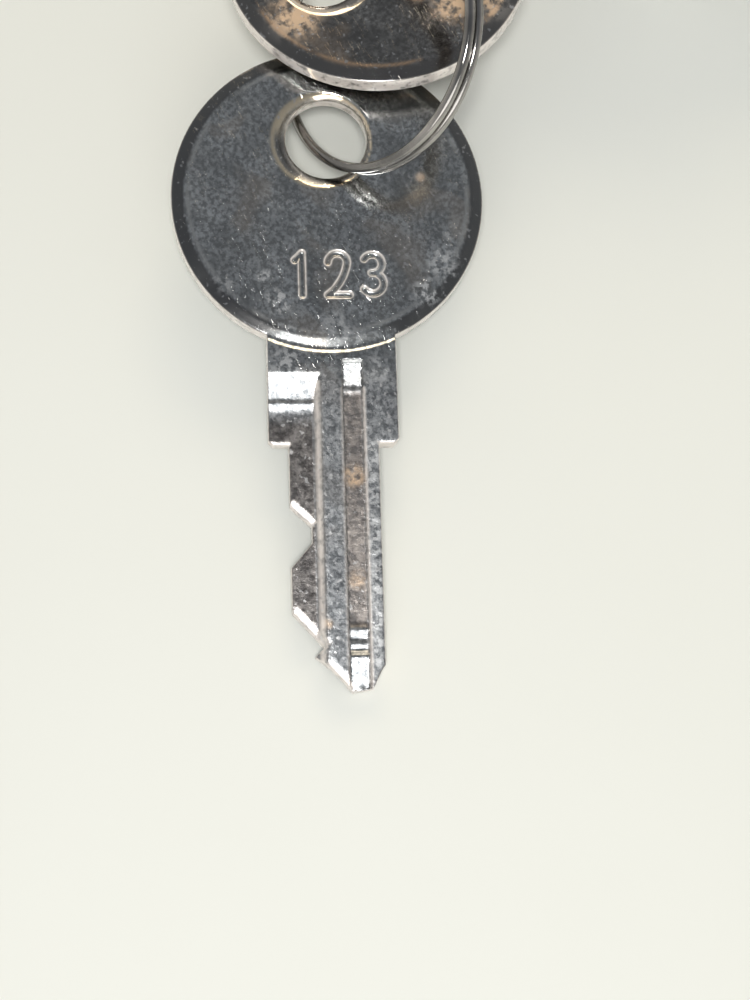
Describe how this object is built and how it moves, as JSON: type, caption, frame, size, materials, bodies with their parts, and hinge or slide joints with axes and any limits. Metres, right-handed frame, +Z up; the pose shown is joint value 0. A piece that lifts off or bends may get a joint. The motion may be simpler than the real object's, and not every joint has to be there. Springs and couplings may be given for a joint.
{
  "type": "cam lock",
  "caption": "Flat-key cam lock for a panel, with a turning plug, wafers, a locking arm, a nut, one key in the plug and a spare key on a split ring.",
  "frame": {"origin": "centre of the bounding box, on the table the lock lies on", "axes": "+Y runs along the lock from the keyway to the cam, +Z up from the table, +X towards the locking arm"},
  "size_m": [0.0626, 0.079, 0.0196],
  "materials": {
    "zinc_body": "die-cast zinc, satin nickel plated",
    "chrome_cap": "bright chrome",
    "zinc_plug": "die-cast zinc, machined",
    "wafer_brass": "bare brass",
    "spring_steel": "drawn steel wire",
    "plated_steel": "zinc plated steel",
    "key_plate": "nickel plated, worn to the base metal at the edges",
    "ring_wire": "nickel plated spring wire"
  },
  "bodies": {
    "lock_housing": {"housing": "zinc_body", "face_cap": "chrome_cap", "lock_washer": "plated_steel", "mounting_nut": "plated_steel"},
    "plug_group": {"plug": "zinc_plug", "wafer_1": "wafer_brass", "wafer_2": "wafer_brass", "wafer_3": "wafer_brass", "wafer_4": "wafer_brass", "wafer_5": "wafer_brass", "wafer_spring_1": "spring_steel", "wafer_spring_2": "spring_steel", "wafer_spring_3": "spring_steel", "wafer_spring_4": "spring_steel", "wafer_spring_5": "spring_steel", "retainer_wafer": "wafer_brass", "retainer_spring": "spring_steel", "stop_washer": "plated_steel", "cam": "plated_steel", "cam_washer": "plated_steel", "cam_screw": "plated_steel"},
    "working_key": {"key_working": "key_plate"},
    "ring": {"split_ring": "ring_wire"},
    "spare_key": {"key_spare": "key_plate"}
  },
  "joints": [
    {"name": "plug_turn", "type": "hinge", "parent": "lock_housing", "child": "plug_group", "pos_m": [-0.01935, 0.0125, 0.0095], "axis": [0, -1, 0], "range_deg": [0, 90]},
    {"name": "key_slide", "type": "slide", "parent": "plug_group", "child": "working_key", "axis": [0, -1, 0], "range_m": [0, 0.02]},
    {"name": "ring_swing", "type": "hinge", "parent": "working_key", "child": "ring", "pos_m": [-0.021, -0.01495, 0.0095], "axis": [0, 0, 1], "range_deg": [-60, 30]},
    {"name": "spare_key_swing", "type": "hinge", "parent": "ring", "child": "spare_key", "pos_m": [-0.00719, -0.02123, 0.00558], "axis": [0, 0, 1], "range_deg": [-30, 35]}
  ]
}
